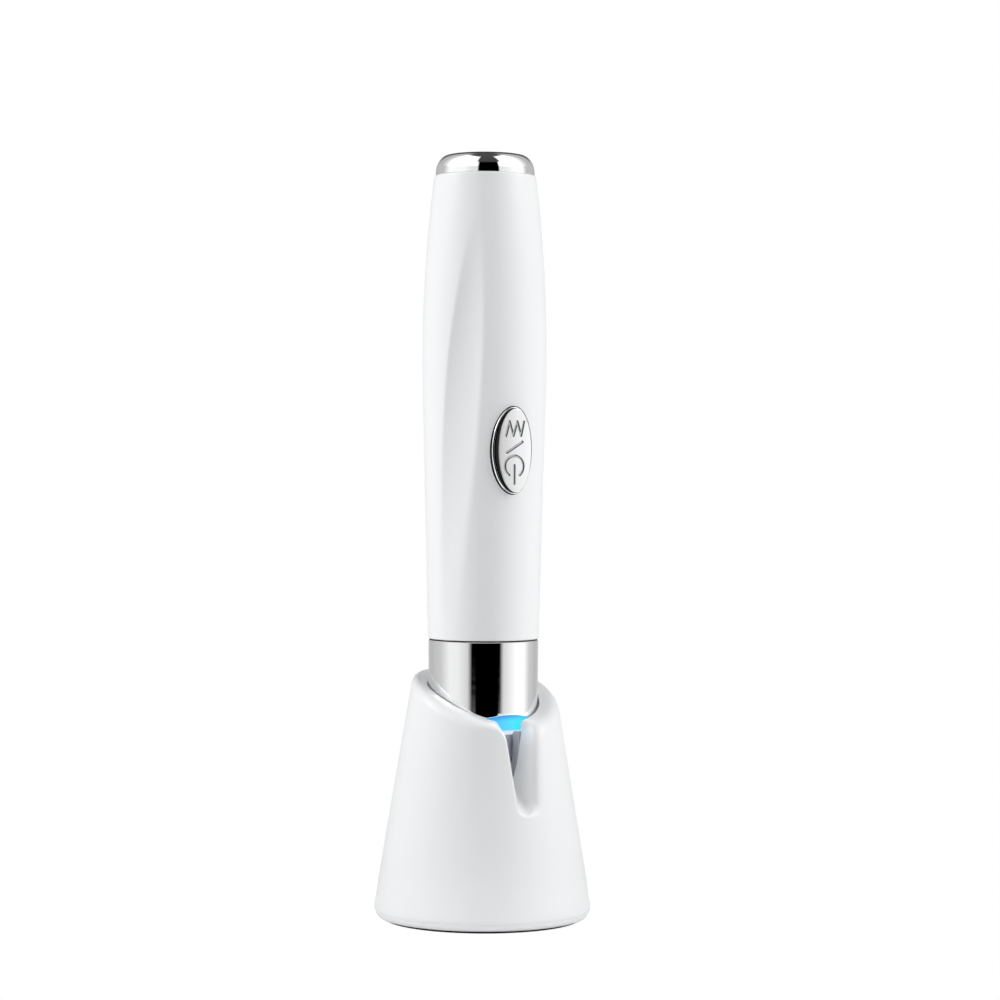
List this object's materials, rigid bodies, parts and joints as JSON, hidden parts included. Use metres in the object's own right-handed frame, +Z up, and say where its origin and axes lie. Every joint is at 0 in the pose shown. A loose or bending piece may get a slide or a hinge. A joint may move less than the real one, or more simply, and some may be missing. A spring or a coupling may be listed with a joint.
{
  "type": "heated eye massager wand with charging dock",
  "caption": "Handheld heated eye massager wand with an oval button and a lit ring, standing head down in a conical charging dock with a slanted, notched rim.",
  "frame": {"origin": "centre of the dock's foot, on the surface it stands on", "axes": "+Z up along the wand, -Y towards the front, where the button and the notch are, +X to the right seen from the front"},
  "size_m": [0.0454, 0.0454, 0.16],
  "materials": {
    "white_gloss": "moulded white plastic, high gloss",
    "grey_plastic": "moulded grey plastic, fine satin",
    "black_plastic": "moulded black plastic",
    "chip_black": "moulded epoxy, matt",
    "board_green": "glass-fibre board under green lacquer",
    "bright_steel": "nickel-plated sheet steel",
    "screw_steel": "zinc-plated screw",
    "zinc_steel": "dense plated metal, dull",
    "gold_contact": "gold flash on brass, polished",
    "copper_film": "etched copper foil heater, amber film",
    "dark_rubber": "moulded silicone rubber, matt",
    "head_metal": "polished and anodised aluminium",
    "light_blue": "frosted clear plastic, lit blue from behind",
    "lamp_lens": "clear lamp package",
    "chrome": "chrome plating, mirror polish",
    "battery_sleeve": "cell in a blue shrink sleeve"
  },
  "bodies": {
    "dock": {"dock_shell": "white_gloss", "socket_cup": "grey_plastic", "cup_screws": "screw_steel", "pin_barrels": "black_plastic", "pin_leads": "gold_contact", "dock_board": "board_green", "dock_chips": "chip_black", "charge_socket": "bright_steel", "ballast_disc": "zinc_steel", "base_plate": "white_gloss", "base_screws": "screw_steel", "dock_board_screws": "screw_steel", "foot_ring": "dark_rubber"},
    "wand": {"massage_head": "head_metal", "head_seal": "dark_rubber", "heater_plate": "copper_film", "temperature_sensor": "chip_black", "light_ring": "light_blue", "lamps": "lamp_lens", "lamp_board": "board_green", "charge_pads": "gold_contact", "collar_ring": "chrome", "collar_gasket": "dark_rubber", "motor_carrier": "grey_plastic", "motor_can": "bright_steel", "motor_cushion": "dark_rubber", "handle_shell": "white_gloss", "button_gasket": "dark_rubber", "button_bezel": "chrome", "mode_switch": "black_plastic", "main_board": "board_green", "main_board_screws": "screw_steel", "board_chips": "chip_black", "inner_chassis": "grey_plastic", "battery": "battery_sleeve", "battery_tabs": "bright_steel", "battery_pad": "dark_rubber", "tail_plug": "grey_plastic", "tail_seal": "dark_rubber", "tail_screw": "screw_steel", "tail_cap": "chrome"},
    "button": {"mode_button": "chrome", "switch_plunger": "black_plastic"},
    "rotor": {"motor_shaft": "bright_steel", "eccentric_weight": "zinc_steel"},
    "pin_right": {"charge_pin_right": "gold_contact"},
    "pin_left": {"charge_pin_left": "gold_contact"}
  },
  "joints": [
    {"name": "wand_lift", "type": "slide", "parent": "dock", "child": "wand", "axis": [0, 0, 1], "range_m": [0, 0.06]},
    {"name": "button_press", "type": "slide", "parent": "wand", "child": "button", "axis": [0, 1, 0], "range_m": [0, 0.0005], "stiffness_N_per_m": 1000, "springref_m": -0.0008},
    {"name": "motor_spin", "type": "hinge", "parent": "wand", "child": "rotor", "pos_m": [0, 0, 0.05], "axis": [0, 0, 1], "continuous": true},
    {"name": "pin_right_press", "type": "slide", "parent": "dock", "child": "pin_right", "axis": [0, 0, 1], "range_m": [-0.0008, 0], "stiffness_N_per_m": 400, "springref_m": 0.0006},
    {"name": "pin_left_press", "type": "slide", "parent": "dock", "child": "pin_left", "axis": [0, 0, 1], "range_m": [-0.0008, 0], "stiffness_N_per_m": 400, "springref_m": 0.0006}
  ]
}
